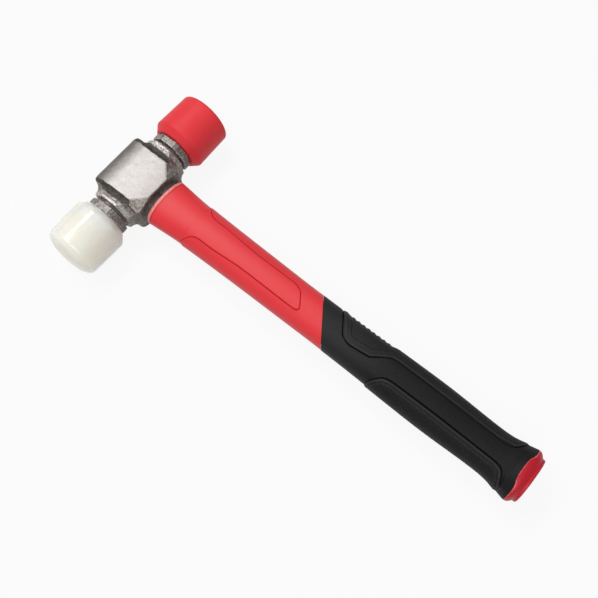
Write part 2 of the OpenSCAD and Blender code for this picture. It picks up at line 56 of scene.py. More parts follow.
axis_y = (stud_low.y + stud_high.y) / 2
axis_z = (stud_low.z + stud_high.z) / 2
head_low, head_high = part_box("head")
head_x = (head_low.x + head_high.x) / 2


def copy_of(node, name):
    """A merged copy of a solid, alone in the selection and ready to be refined."""
    bpy.ops.object.select_all(action="DESELECT")
    piece = bpy.data.objects.new(name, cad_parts[node].data.copy())
    bpy.context.scene.collection.objects.link(piece)
    piece.data.materials.clear()
    piece.select_set(True)
    bpy.context.view_layer.objects.active = piece
    bpy.ops.mesh.customdata_custom_splitnormals_clear()
    bpy.ops.object.mode_set(mode="EDIT")
    bpy.ops.mesh.select_all(action="SELECT")
    bpy.ops.mesh.remove_doubles(threshold=weld_reach)
    bpy.ops.object.mode_set(mode="OBJECT")
    return piece


def apply_modifier(piece, kind, **settings):
    """Adds one modifier with its settings and applies it."""
    modifier = piece.modifiers.new(kind.lower(), kind)
    for key, setting in settings.items():
        setattr(modifier, key, setting)
    bpy.ops.object.modifier_apply(modifier=modifier.name)


head = copy_of("head", "forged_head")
apply_modifier(head, "REMESH", mode="VOXEL", voxel_size=head_voxel, use_smooth_shade=True)
forged = head.vertex_groups.new(name="forged")
for vertex in head.data.vertices:
    x, y, z = vertex.co.x - head_x, vertex.co.y - axis_y, vertex.co.z - axis_z
    in_bore = math.hypot(y, z) < bore_radius + hole_margin
    past_flat = max(abs(x) - (eye_half_width - eye_half_thick), 0)
    in_eye = math.hypot(past_flat, z) < eye_half_thick + hole_margin
    if not in_bore and not in_eye:
        forged.add([vertex.index], 1, "REPLACE")
forge_clouds = bpy.data.textures.new("forge_clouds", "CLOUDS")
forge_clouds.noise_scale = wave_length
forge_clouds.noise_depth = 1
apply_modifier(head, "DISPLACE", texture=forge_clouds, texture_coords="LOCAL",
               strength=wave_height, mid_level=0.5, vertex_group="forged")
apply_modifier(head, "SMOOTH", factor=0.5, iterations=7, vertex_group="forged")


class Shade:
    """One value of a material. Its operators add Math nodes, and add() puts in any other node."""

    def __init__(self, tree, socket=None):
        self.tree = tree
        self.socket = socket

    def add(self, kind, settings, sockets, output=0):
        """Any node by its type, with its settings and the values or links of its sockets."""
        node = self.tree.nodes.new("ShaderNode" + kind)
        for key, setting in settings.items():
            setattr(node, key, setting)
        for key, value in sockets.items():
            if isinstance(value, Shade):
                self.tree.links.new(value.socket, node.inputs[key])
            else:
                node.inputs[key].default_value = value
        return Shade(self.tree, node.outputs[output]) if node.outputs else None

    def math(self, operation, *values):
        return self.add("Math", {"operation": operation}, dict(enumerate(values)))

    def __add__(self, other):
        return self.math("ADD", self, other)

    def __radd__(self, other):
        return self.math("ADD", other, self)

    def __sub__(self, other):
        return self.math("SUBTRACT", self, other)

    def __rsub__(self, other):
        return self.math("SUBTRACT", other, self)

    def __mul__(self, other):
        return self.math("MULTIPLY", self, other)

    def __rmul__(self, other):
        return self.math("MULTIPLY", other, self)

    def __neg__(self):
        return self.math("SUBTRACT", 0, self)

    def __abs__(self):
        return self.math("ABSOLUTE", self)

    def most(self, *others):
        """The highest of this value and some others."""
        highest = self
        for other in others:
            highest = self.math("MAXIMUM", highest, other)
        return highest

    def rise(self, start, end):
        """0 below start and 1 above end, with a smooth step between them."""
        return self.add("MapRange", {"interpolation_type": "SMOOTHSTEP"},
                        {"Value": self, "From Min": start, "From Max": end})

    def fall(self, start, end):
        """1 below start and 0 above end, with a smooth step between them."""
        return 1 - self.rise(start, end)

    def band(self, start, full, falling, end):
        """0 outside a band and 1 from full to falling, with smooth steps on both sides."""
        return self.rise(start, full) * self.fall(falling, end)

    def part(self, name):
        """One coordinate of a place or a normal."""
        return self.add("SeparateXYZ", {}, {"Vector": self}, name)

    def kept(self, name):
        """The number that keep_values stored under a name."""
        return self.add("Attribute", {"attribute_name": name}, {}, "Fac")

    def noise(self, scale, detail=2.0, stretch=(1.0, 1.0, 1.0)):
        """A grey noise at a place, in lumps of about 1/scale metres."""
        place = self.add("Mapping", {}, {"Vector": self, "Scale": stretch})
        return self.add("TexNoise", {}, {"Vector": place, "Scale": scale, "Detail": detail})

    def mix(self, first, second):
        """A colour between two, by this value."""
        return self.add("Mix", {"data_type": "RGBA"}, {0: self, 6: first, 7: second}, 2)

    def bump(self, distance):
        """A normal that is raised by this height."""
        return self.add("Bump", {}, {"Height": self, "Distance": distance, "Strength": 1.0})


def new_finish(name):
    """A new material, and the object's own place on it."""
    material = bpy.data.materials.new(name)
    material.use_nodes = True
    material.node_tree.nodes.clear()
    return material, Shade(material.node_tree).add("TexCoord", {}, {}, "Object")


def surface(place, sockets):
    """Ends a material with its shader."""
    shader = place.add("BsdfPrincipled", {}, sockets)
    place.add("OutputMaterial", {}, {"Surface": shader})


def rows_of(points, key):
    """The places or the normals of a piece's points, one row each."""
    rows = np.empty(len(points) * 3, dtype=np.float32)
    points.foreach_get(key, rows)
    return rows.reshape(-1, 3)


def keep_values(piece, name, values):
    """Stores one number per point of a piece, for its material to read."""
    layer = piece.data.attributes.new(name, "FLOAT", "POINT")
    layer.data.foreach_set("value", values.astype(np.float32))


def mean_of_neighbours(piece):
    """A function that gives, for numbers per point, the mean over each point's neighbours."""
    count = len(piece.data.vertices)
    ends = np.empty(len(piece.data.edges) * 2, dtype=np.int32)
    piece.data.edges.foreach_get("vertices", ends)
    here = np.concatenate([ends[0::2], ends[1::2]])
    there = np.concatenate([ends[1::2], ends[0::2]])
    near = np.maximum(np.bincount(here, minlength=count), 1)

    def around(values):
        if values.ndim == 2:
            return np.stack([around(column) for column in values.T], axis=1)
        return np.bincount(here, values[there], minlength=count) / near

    return around


def keep_edges(piece, radius, passes):
    """Stores how far each point stands out: 1 on an edge of this radius, below 0 in a hollow."""
    places = rows_of(piece.data.vertices, "co")
    normals = rows_of(piece.data.vertex_normals, "vector")
    around = mean_of_neighbours(piece)
    centre = around(places)
    squares = np.sum(places ** 2, axis=1)
    spacing = around(squares) + squares - 2 * np.sum(places * centre, axis=1)
    stand = np.sum((places - centre) * normals, axis=1) * 4 / np.maximum(spacing, 1e-12) * radius
    stand = np.clip(stand, -2, 2)
    for _ in range(passes):
        stand = (stand + around(stand)) / 2
    keep_values(piece, "edges", stand)


keep_edges(head, radius=0.0008, passes=4)
# The darkest steel colours serve both the real forge scale and painted shade.
steel_scale_and_shade = ((0.024, 0.021, 0.018, 1), (0.085, 0.073, 0.063, 1))
steel_facet = ((0.15, 0.133, 0.119, 1), (0.42, 0.382, 0.349, 1))
steel_neck = ((0.23, 0.208, 0.19, 1), (0.72, 0.675, 0.635, 1))
steel_cheek = ((0.37, 0.348, 0.336, 1), (0.47, 0.446, 0.434, 1))
steel_rolled_and_shaded = ((0.20, 0.189, 0.177, 1), (0.33, 0.313, 0.297, 1))
steel_worn = (0.70, 0.665, 0.63, 1)
cheek_edge = (0.0153, 0.0158)
body_edge = (-0.0174, -0.0172)
collar_edge = (-0.0178, -0.0175)
cove_edge = (0.0192, 0.0202)
cove_corner = (0.0108, 0.0116)
neck_edge = (0.0196, 0.0208)
groove_near = (0.0236, 0.0240)
groove_far = (0.0246, 0.0250)
groove_spread = (0.0005, 0.0003)
facet_edge = (0.0001, 0.0004)
facet_sine, facet_cosine = math.sin(math.pi / 8), math.cos(math.pi / 8)
roll_edge = (0.0104, 0.0160)
shade_edge = (0.003, 0.019)
mask_wander = 0.0022
roll_wander = 0.002
side_blend = 0.01
forged_steel, place = new_finish("forged_steel")
normal = place.add("TexCoord", {}, {}, "Normal")
across = abs(place.part("X") - head_x)
along = place.part("Y") - axis_y
off = abs(place.part("Z") - axis_z)
on_right = place.part("X").rise(head_x - side_blend, head_x + side_blend)
facing = abs(normal.part("Z"))
tilt = normal.part("Y")
wander = (place.noise(230.0) - 0.5) * mask_wander
blast = place.noise(1500.0, detail=3.0).rise(0.3, 0.7)
speckle = place.noise(850.0).rise(0.34, 0.66)
patch = place.noise(240.0, detail=3.0).rise(0.32, 0.68)
brushing = place.noise(1400.0, stretch=(1.0, 0.08, 1.0)).rise(0.3, 0.7)
edges = place.kept("edges")
past_cheek = (across + wander).rise(*cheek_edge)
turned_up = (facing + tilt.most(0.0) * 0.5).rise(0.90, 0.955)
ground = (1 - past_cheek) * turned_up * along.rise(*body_edge)
on_neck = across.rise(*neck_edge)
on_shank = on_neck * across.fall(*groove_far)
cove = (past_cheek * (across - wander).fall(*cove_edge) * off.rise(*cove_corner)
        * (-tilt).fall(0.18, 0.32))
groove = ((across + on_right * groove_spread[0]).rise(*groove_near)
          * (across - on_right * groove_spread[1]).fall(*groove_far))
from_upper_fold = abs(off * facet_sine - abs(along) * facet_cosine)
from_lower_fold = abs(off * facet_cosine - abs(along) * facet_sine)
facet_line = from_upper_fold.math("MINIMUM", from_upper_fold, from_lower_fold)
facet_line = facet_line.fall(*facet_edge) * on_neck * patch
collar = along.fall(*collar_edge)
wall = (-tilt).rise(0.72, 0.92)
steep = facing.fall(0.05, 0.3) * (-tilt).rise(0.2, 0.5)
# Dark mix: real forge scale in the coves and on the facet lines, and painted shade on the
# handle-side wall, on the collar by the jacket, on the steep faces below and in the neck grooves.
scale_and_shade = cove.most(groove * (0.3 + on_right * 0.6), wall * 0.55, collar * 0.8, facet_line * 0.8,
                   steep * 0.6)
# The hollows of the forging are darkened with painted shade too.
hollow_shade = (-edges).rise(0.15, 0.7)
scale_and_shade_with_hollows = (scale_and_shade * 0.92).most(hollow_shade * 0.8)
grain = speckle * 0.65 + patch * 0.35
rough_forged = on_shank.mix(grain.mix(*steel_facet), grain.mix(*steel_neck))
satin = brushing * 0.3 + blast * 0.7
# The cheek darkens towards its rolled top edge, partly from a less ground finish and partly from
# painted shade, and towards the handle side from painted shade alone.
rolled_and_shaded = (along + (patch - 0.5) * roll_wander).rise(*roll_edge) + (-along).rise(*shade_edge) * 0.6
polished = rolled_and_shaded.mix(satin.mix(*steel_cheek), satin.mix(*steel_rolled_and_shaded))
worn = edges.rise(0.25, 0.8) * speckle * (1 - ground) * 0.7
steel_colour = worn.mix(ground.mix(rough_forged, polished), steel_worn)
steel_relief = blast * (0.5 - ground * 0.48) + speckle * (1 - ground) * 0.6
steel_relief = steel_relief * (1 - on_neck * 0.45)
surface(place, {
    "Base Color": scale_and_shade_with_hollows.mix(steel_colour, grain.mix(*steel_scale_and_shade)),
    "Metallic": 0.92 - scale_and_shade_with_hollows * 0.4,
    "Roughness": 0.46 + scale_and_shade_with_hollows * 0.14 + speckle * (1 - ground) * 0.1 + ground * 0.05,
    "Normal": steel_relief.bump(0.00014),
})
head.data.materials.append(forged_steel)
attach(head, "hammer")
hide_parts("head")

# Core and epoxy: a pultruded fibreglass rod that runs the length of the handle, cut off flush
# inside the eye, and the amber resin that is poured round it and sets to hold the head.
rod_colours = ((0.42, 0.35, 0.17, 1), (0.78, 0.72, 0.52, 1))
rod_fibres, place = new_finish("rod_fibres")
strands = place.noise(2600.0, stretch=(1.0, 0.03, 1.0))
bundles = place.noise(700.0, stretch=(1.0, 0.02, 1.0))
surface(place, {
    "Base Color": (strands * 0.7 + bundles * 0.3).mix(*rod_colours),
    "Roughness": 0.45 + strands * 0.25,
    "Normal": strands.bump(0.00008),
})

resin_colours = ((0.16, 0.10, 0.035, 1), (0.36, 0.25, 0.09, 1))
poured_resin, place = new_finish("poured_resin")
swirl = place.noise(300.0, detail=3.0)
bubbles = place.add("TexVoronoi", {}, {"Vector": place, "Scale": 900.0}).rise(0.10, 0.22)
surface(place, {
    "Base Color": swirl.mix(*resin_colours),
    "Roughness": 0.18 + swirl * 0.2,
    "Normal": (bubbles * 0.6 + swirl).bump(0.0001),
})

for node, finish in (("shaft_core", rod_fibres), ("eye_epoxy", poured_resin)):
    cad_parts[node].data.materials.clear()
    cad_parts[node].data.materials.append(finish)

# Shaft jacket: red satin plastic that is moulded over the core. Two raised side bands frame a
# long flat panel with a thin groove round it, and its rounded rim meets the head's collar.
groove_depth = 0.00018
groove_slack = 0.3
# Bands back from the rim: a painted highlight on the rounded rim, and a painted shade line just
# inside it.
rim_highlight_reach = (0.0019, 0.0022)
rim_shade_band = (0.0020, 0.0023, 0.0027, 0.0031)
jacket_colours = ((0.69, 0.030, 0.040, 1), (0.77, 0.046, 0.054, 1))
groove_shade_red = (0.28, 0.006, 0.010, 1)
rim_shade_red = (0.34, 0.014, 0.016, 1)
rim_highlight_red = (0.78, 0.29, 0.26, 1)


def refine(piece, levels, fold, crease=1.0):
    """Turns a solid's triangles into four-sided faces, creases its folds and smooths the rest."""
    bpy.ops.object.mode_set(mode="EDIT")
    bpy.ops.mesh.select_all(action="SELECT")
    bpy.ops.mesh.tris_convert_to_quads(face_threshold=math.radians(60),
                                       shape_threshold=math.radians(75))
    bpy.ops.mesh.select_all(action="DESELECT")
    bpy.ops.mesh.select_mode(type="EDGE")
    bpy.ops.mesh.edges_select_sharp(sharpness=math.radians(fold))
    bpy.ops.transform.edge_crease(value=crease)
    bpy.ops.object.mode_set(mode="OBJECT")
    apply_modifier(piece, "SUBSURF", levels=levels, render_levels=levels)
    bpy.ops.object.shade_smooth_by_angle(angle=math.radians(40))


def keep_grooves(piece):
    """Stores 1 where a solid's points lie a groove's depth below their neighbours."""
    places = rows_of(piece.data.vertices, "co")
    normals = rows_of(piece.data.vertex_normals, "vector")
    below = np.sum((mean_of_neighbours(piece)(places) - places) * normals, axis=1)
    share = (below / groove_depth - groove_slack) / (1 - groove_slack)
    keep_values(piece, "grooves", np.clip(share, 0, 1))


jacket = copy_of("shaft_jacket", "red_jacket")
keep_grooves(jacket)
refine(jacket, levels=2, fold=30)
jacket_red, place = new_finish("jacket_red")
normal = place.add("TexCoord", {}, {}, "Normal")
grain = place.noise(2600.0)
flow = place.noise(45.0, stretch=(1.0, 0.25, 1.0))
highlight_patches = place.noise(520.0).rise(0.35, 0.65)
from_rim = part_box("shaft_jacket")[1].y - place.part("Y")
# Painted highlight along the rounded rim, broken into patches by noise.
edge_highlight = from_rim.fall(*rim_highlight_reach)
# Painted shade: a thin darker line just inside the rim highlight.
rim_shade_line = from_rim.band(*rim_shade_band)
# Painted shade: the thin grooves round the panel are darkened.
groove_shade = place.kept("grooves").rise(0.2, 0.75) * abs(normal.part("Z")).rise(0.25, 0.5)
body_red = (flow * 0.8 + grain * 0.2).mix(*jacket_colours)
groove_shaded_red = (groove_shade * 0.75).mix(body_red, groove_shade_red)
groove_shaded_red = (rim_shade_line * 0.6).mix(groove_shaded_red, rim_shade_red)
surface(place, {
    "Base Color": (edge_highlight * (0.6 + highlight_patches * 0.4)).mix(groove_shaded_red, rim_highlight_red),
    "Roughness": 0.38 + grain * 0.12,
    "Specular IOR Level": 0.3,
    "Normal": grain.bump(0.00003),
})
jacket.data.materials.append(jacket_red)
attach(jacket, "hammer")
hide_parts("shaft_jacket")

# Grip: a black rubber sleeve that is moulded over the jacket's tang. Two finely grained raised
# pads, parted by a smooth channel, run down it, and ribs on one edge stop the finger.
joint_y = -0.008775
slant_top = 0.718
slant_start = 0.0164
slant_end = 0.047
slant_rounds = 8
upper_front = 0.0144
upper_side = 0.014
upper_line = np.array([(14.4, -1.8), (15.9, -3.0), (18.9, -3.7), (33, -2.3), (44.4, 5.2),
                       (50, 5.4), (112.2, 5.4), (121.2, 7.0), (126.2, 13.5)]) / 1000
lower_line = np.array([(36, -13.2), (42, -9.2), (46.5, -6.3), (52, -5.4), (116.2, -5.4),
                       (122.2, -7.0), (126.2, -13.5)]) / 1000
squared_span = (0.0189, 0.052)
squared_reach = (0.001, 0.0035)
panel_fade = (0.034, 0.042)
panel_groove = (0.0040, 0.0043)
panel_edge = (0.0044, 0.0048)
pad_border = (0.0005, 0.0008, 0.0012, 0.0018)
pad_edge = (0.0014, 0.002)
pad_ridge = (0.0024, 0.0027, 0.0030, 0.0034)
lighter_far, lighter_near = 0.055, 0.012
rubber_colours = ((0.0045, 0.0044, 0.0044, 1), (0.0145, 0.0141, 0.0141, 1))
# Colours for the lighter rubber by the joint, the painted highlights on the pad borders and the
# painted shade in the grooves.
lighter_grey = (0.028, 0.027, 0.0272, 1)
highlight_grey = (0.036, 0.0345, 0.0345, 1)
groove_shade_black = (0.0016, 0.0016, 0.0016, 1)


def slant_at(down):
    """Slope of the handle's sections at a distance down from the joint."""
    return slant_top * np.clip((slant_end - down) / (slant_end - slant_start), 0, 1)


def on_plan(line):
    """A pad's line, given as distance down and across, on the plan of the handle."""
    down, side = line.T
    return np.stack([side + head_x, joint_y - down + slant_at(down) * side], axis=1)


def down_and_side(places):
    """Each place's distance down from the joint, along the slanted sections, and across."""
    side = places[:, 0] - head_x
    down = joint_y - places[:, 1]
    for _ in range(slant_rounds):
        down = joint_y - places[:, 1] + slant_at(down) * side
    return down, side


def distance_to(starts, ends, places):
    """Distance of each place from the nearest of some straight lines."""
    nearest = np.full(len(places), 1.0)
    for start, end in zip(starts, ends):
        run = end - start
        share = np.clip((places - start) @ run / (run @ run), 0, 1)
        nearest = np.minimum(nearest, np.linalg.norm(places - start - share[:, None] * run, axis=1))
    return nearest


def eased(values, start, end):
    """0 below start and 1 above end, with a smooth step between them, for rows of numbers."""
    share = np.clip((values - start) / (end - start), 0, 1)
    return share * share * (3 - 2 * share)


def smooth_through(line, down):
    """The soft curve through a line's points that the solid's groove follows."""
    at, side = line.T
    padded = np.pad(line, ((1, 1), (0, 0)), mode="edge")
    runs, climbs = (padded[2:] - padded[:-2]).T
    slopes = climbs / runs
    last = np.clip(np.searchsorted(at, down, side="right") - 1, 0, len(at) - 2)
    span = at[last + 1] - at[last]
    share = np.clip((down - at[last]) / span, 0, 1)
    left = 1 - share
    return (side[last] * (1 + 2 * share) * left ** 2
            + side[last + 1] * share ** 2 * (3 - 2 * share)
            + span * slopes[last] * share * left ** 2
            - span * slopes[last + 1] * share ** 2 * left)


grip = copy_of("grip", "rubber_grip")
keep_grooves(grip)
places = rows_of(grip.data.vertices, "co")
down, side = down_and_side(places)
soft = smooth_through(upper_line, down)
squared = np.interp(down, *upper_line.T) - soft
squared = squared * (1 - eased(np.abs(side - soft), *squared_reach))
squared = squared * ((down > squared_span[0]) & (down < squared_span[1]))
places[:, 0] += squared
places[:, 1] += squared * slant_at(down)
grip.data.vertices.foreach_set("co", places.ravel())
grip.data.update()
refine(grip, levels=2, fold=44)
places = rows_of(grip.data.vertices, "co")
plan = places[:, :2]
down, side = down_and_side(places)
on_upper = (down > upper_front) & (side > np.interp(down, *upper_line.T))
on_lower = (down > lower_line[0, 0]) & (side < np.interp(down, *lower_line.T))
upper_plan = on_plan(np.concatenate([[(upper_front, upper_side)], upper_line]))
lower_plan = on_plan(lower_line)
inside = np.where(on_upper, distance_to(upper_plan[:-1], upper_plan[1:], plan), 0)
inside = np.where(on_lower, distance_to(lower_plan[:-1], lower_plan[1:], plan), inside)
keep_values(grip, "inside", inside)
keep_values(grip, "panelled", np.where(on_upper, 1 - eased(down, *panel_fade), 0))
grip_black, place = new_finish("grip_black")
inside = place.kept("inside")
panelled = place.kept("panelled")
pebble = place.add("TexVoronoi", {"feature": "SMOOTH_F1"}, {"Vector": place, "Scale": 1250.0})
dust = place.noise(180.0, detail=3.0)
skin = place.noise(3200.0)
speck = place.noise(1100.0).rise(0.3, 0.7)
# Painted highlights: lighter strips along each pad's border, and a fainter ridge further in.
highlit_border = inside.band(*pad_border)
highlit_ridge = inside.band(*pad_ridge) * (1 - panelled)
in_panel = inside.rise(*panel_edge)
# Painted shade: the grooves and the panel's inner edge line are drawn near black.
panel_shade_line = inside.rise(*panel_groove) * (1 - in_panel) * panelled
on_pad = in_panel.most((1 - panelled) * inside.rise(*pad_edge))
groove_shade_lines = place.kept("grooves").rise(0.03, 0.35).most(panel_shade_line * 0.6)
# The rubber turns lighter grey towards the joint with the jacket.
near_joint = place.part("Y").rise(joint_y - lighter_far, joint_y - lighter_near)
rubber = (dust * 0.4 + speck * (on_pad * 0.4 + 0.2)).mix(*rubber_colours)
rubber = (near_joint * 0.6).mix(rubber, lighter_grey)
rubber = (highlit_border * 0.6 + highlit_ridge * 0.3).mix(rubber, highlight_grey)
rubber_relief = pebble * on_pad * 1.4 + skin * 0.3 - in_panel * panelled * 1.5 - highlit_border * 0.8
surface(place, {
    "Base Color": (groove_shade_lines * 0.92).mix(rubber, groove_shade_black),
    "Roughness": 0.48 + dust * 0.14 + on_pad * 0.08,
    "Specular IOR Level": 0.17,
    "Normal": rubber_relief.bump(0.00016),
})
grip.data.materials.append(grip_black)
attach(grip, "hammer")
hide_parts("grip")

# Butt cap: a crimson plastic plug that closes the grip. A tongue on each broad side keys it into
# the rubber, and a rounded bead runs down to a slightly crowned end disc.
lip_facing = 0.6
lip_fold = 0.6
highlight_width = (0.0003, 0.0008)
crimson_colours = ((0.43, 0.008, 0.018, 1), (0.53, 0.014, 0.026, 1))
# A paler red for the painted highlight along the front edge.
cap_highlight_red = (0.66, 0.16, 0.17, 1)
cap = copy_of("butt_cap", "crimson_cap")
places = rows_of(cap.data.vertices, "co")
sides = {}
for polygon in cap.data.polygons:
    for key in polygon.edge_keys:
        sides.setdefault(key, []).append(polygon)
lip_ends = []
for ends, polygons in sides.items():
    flank, front = sorted(polygons, key=lambda polygon: polygon.normal.y)
    outside = (front.center - flank.center).dot(flank.normal) < 0
    if outside and front.normal.y > lip_facing and flank.normal.dot(front.normal) < lip_fold:
        lip_ends.append(ends)
lip_starts, lip_stops = places[np.array(lip_ends)].swapaxes(0, 1)
refine(cap, levels=3, fold=32, crease=0.8)
keep_values(cap, "from_lip", distance_to(lip_starts, lip_stops, rows_of(cap.data.vertices, "co")))
cap_crimson, place = new_finish("cap_crimson")
grain = place.noise(2200.0)
flow = place.noise(90.0)
highlight_patches = place.noise(600.0).rise(0.3, 0.7)
# Painted highlight along the front edge, broken into patches by noise.
edge_highlight = place.kept("from_lip").fall(*highlight_width)
body_crimson = (flow * 0.8 + grain * 0.2).mix(*crimson_colours)
surface(place, {
    "Base Color": (edge_highlight * (0.3 + highlight_patches * 0.4)).mix(body_crimson, cap_highlight_red),
    "Specular IOR Level": 0.28,
    "Roughness": 0.36 + grain * 0.14,
    "Normal": grain.bump(0.00004),
})
cap.data.materials.append(cap_crimson)
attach(cap, "hammer")
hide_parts("butt_cap")

# Studs: plain steel rods with a rolled M12 thread over their whole length and bevelled ends.
# Each is fixed in its soft face and screws into the head.
stud_radius = 0.006
stud_bevel = 0.0011
stud_sides = 64
thread_pitch = 0.00175
thread_depth = 0.00095
thread_steps = 8
flank_slope = 2.7
thread_colours = ((0.26, 0.255, 0.25, 1), (0.52, 0.515, 0.51, 1))
thread_steel, place = new_finish("thread_steel")
scratches = place.noise(2400.0, detail=3.0, stretch=(0.15, 1.0, 1.0))
oil = place.noise(120.0)
surface(place, {
    "Base Color": (scratches * 0.6 + oil * 0.4).mix(*thread_colours),
    "Metallic": 1.0,
    "Roughness": 0.3 + oil * 0.2,
    "Normal": scratches.bump(0.00003),
})


def threaded_stud(node, name, body):
    """A bar that is cut along its length into rings, which are then sunk along a helix."""
    low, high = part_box(node)
    length = high.x - low.x
    rings = round(length / thread_pitch * thread_steps)
    bpy.ops.object.select_all(action="DESELECT")
    bpy.ops.mesh.primitive_cylinder_add(vertices=stud_sides, radius=stud_radius, depth=length,
                                        end_fill_type="TRIFAN", rotation=(0, math.pi / 2, 0),
                                        location=((low.x + high.x) / 2, axis_y, axis_z))
    stud = bpy.context.object
    stud.name = name
    bpy.ops.object.transform_apply(location=True, rotation=True, scale=True)
    bpy.ops.object.mode_set(mode="EDIT")
    bpy.ops.mesh.select_all(action="DESELECT")
    bpy.ops.object.mode_set(mode="OBJECT")
    points = stud.data.vertices
    for edge in stud.data.edges:
        first, second = edge.vertices
        edge.select = abs(points[first].co.x - points[second].co.x) > length / 2
    bpy.ops.object.mode_set(mode="EDIT")
    bpy.ops.mesh.select_mode(type="EDGE")
    bpy.ops.mesh.subdivide(number_cuts=rings - 1)
    bpy.ops.object.mode_set(mode="OBJECT")
    for vertex in stud.data.vertices:
        y, z = vertex.co.y - axis_y, vertex.co.z - axis_z
        if math.hypot(y, z) < stud_radius / 2:
            continue
        angle = math.atan2(z, y)
        turn = (vertex.co.x / thread_pitch - angle / math.tau) % 1
        sunk = thread_depth * min(1, flank_slope * (0.5 - abs(turn - 0.5)))
        bevel = max(0, stud_bevel - min(vertex.co.x - low.x, high.x - vertex.co.x))
        radius = stud_radius - max(sunk, bevel)
        vertex.co.y = axis_y + radius * math.cos(angle)
        vertex.co.z = axis_z + radius * math.sin(angle)
    bpy.ops.object.shade_smooth_by_angle(angle=math.radians(35))
    stud.data.materials.append(thread_steel)
    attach(stud, body)
    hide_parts(node)


threaded_stud("nylon_face_stud", "nylon_thread", "nylon_stud")
threaded_stud("urethane_face_stud", "urethane_thread", "urethane_stud")

# Soft faces: an ivory nylon tip and a red urethane tip, each a bevelled round block with a crowned
# striking end, moulded round the end of its stud. They screw down to the rings of the head.
face_back = 0.014
face_shoulder = 0.0175
face_rim = 0.0169
face_bevel = 0.0042
face_sides = 144
back_rounding = 0.0005
socket_depth = 0.0168
socket_bevel = 0.0008
socket_centre = 0.3
round_steps = 8
end_steps = 28


def rounded(corners):
    """Points along a line with rounded inner corners, each given as (radius, height, rounding)."""
    points = []
    for i, (radius, height, rounding) in enumerate(corners):
        here = Vector((radius, height))
        if not rounding:
            points.append(here)
            continue
        before = Vector(corners[i - 1][:2]) - here
        after = Vector(corners[i + 1][:2]) - here
        half = before.angle(after) / 2
        reach = rounding / math.tan(half)
        middle = (before.normalized() + after.normalized()).normalized()
        centre = here + middle * rounding / math.sin(half)
        start = here + before.normalized() * reach - centre
        end = here + after.normalized() * reach - centre
        for step in range(round_steps + 1):
            points.append(centre + start.lerp(end, step / round_steps).normalized() * rounding)
    return points


def turned_face(node, name, body, side, end, squareness, softness, outward):
    """A ring of edges at the bottom of the stud's hole, extruded and scaled out to the crown."""
    low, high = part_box(node)
    back_x = high.x if outward < 0 else low.x
    rim_height = face_bevel + side
    profile = rounded([
        (bore_radius * socket_centre, socket_depth, 0),
        (bore_radius, socket_depth, 0),
        (bore_radius, socket_bevel, 0),
        (bore_radius + socket_bevel, 0, 0),
        (face_back, 0, back_rounding),
        (face_shoulder, face_bevel, softness),
        (face_rim, rim_height, 0),
    ])
    for step in range(1, end_steps):
        angle = math.pi / 2 * step / end_steps
        profile.append(Vector((face_rim * math.cos(angle) ** (2 / squareness),
                               rim_height + end * math.sin(angle) ** (2 / squareness))))
    bpy.ops.object.select_all(action="DESELECT")
    bpy.ops.mesh.primitive_circle_add(vertices=face_sides, radius=profile[0].x,
                                      fill_type="TRIFAN", location=(0, 0, profile[0].y))
    face = bpy.context.object
    face.name = name
    bpy.ops.object.transform_apply(location=True, rotation=True, scale=True)
    bpy.ops.object.mode_set(mode="EDIT")
    bpy.ops.mesh.select_mode(type="EDGE")
    bpy.ops.mesh.select_all(action="SELECT")
    bpy.ops.mesh.region_to_loop()
    radius, height = profile[0]
    for point in profile[1:]:
        rise, growth = point.y - height, point.x / radius
        bpy.ops.mesh.extrude_region_move(TRANSFORM_OT_translate={"value": (0, 0, rise)})
        bpy.ops.transform.resize(value=(growth, growth, 1), center_override=(0, 0, point.y))
        radius, height = point
    rise = rim_height + end - height
    bpy.ops.mesh.extrude_region_move(TRANSFORM_OT_translate={"value": (0, 0, rise)})
    bpy.ops.mesh.merge(type="CENTER")
    bpy.ops.mesh.select_all(action="SELECT")
    bpy.ops.mesh.normals_make_consistent(inside=False)
    bpy.ops.object.mode_set(mode="OBJECT")
    face.matrix_world = (Matrix.Translation((back_x, axis_y, axis_z))
                         @ Matrix.Rotation(outward * math.pi / 2, 4, "Y"))
    bpy.ops.object.transform_apply(location=True, rotation=True, scale=True)
    bpy.ops.object.shade_smooth_by_angle(angle=math.radians(35))
    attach(face, body)
    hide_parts(node)
    return face


nylon_tip = turned_face("nylon_face", "nylon_tip", "nylon_tip", side=0.0215, end=0.0064,
                        squareness=2.3, softness=0.003, outward=-1)
ivory_colours = ((0.82, 0.78, 0.66, 1), (0.88, 0.865, 0.80, 1))
ivory_nylon, place = new_finish("ivory_nylon")
streak = place.noise(320.0, stretch=(0.12, 1.0, 1.0))
milk = place.noise(60.0, detail=3.0)
surface(place, {
    "Base Color": (milk * 0.7 + streak * 0.3).mix(*ivory_colours),
    "Roughness": 0.03 + streak * 0.06,
    "Subsurface Weight": 1.0,
    "Subsurface Radius": (0.01, 0.009, 0.007),
    "Subsurface Scale": 2.0,
    "Normal": (streak * 0.7 + milk).bump(0.00003),
})
nylon_tip.data.materials.append(ivory_nylon)

urethane_tip = turned_face("urethane_face", "urethane_tip", "urethane_tip",
                           side=0.0223, end=0.0033, squareness=3.1, softness=0.0012, outward=1)
keep_edges(urethane_tip, radius=0.0012, passes=1)
urethane_colours = ((0.69, 0.026, 0.037, 1), (0.79, 0.046, 0.054, 1))
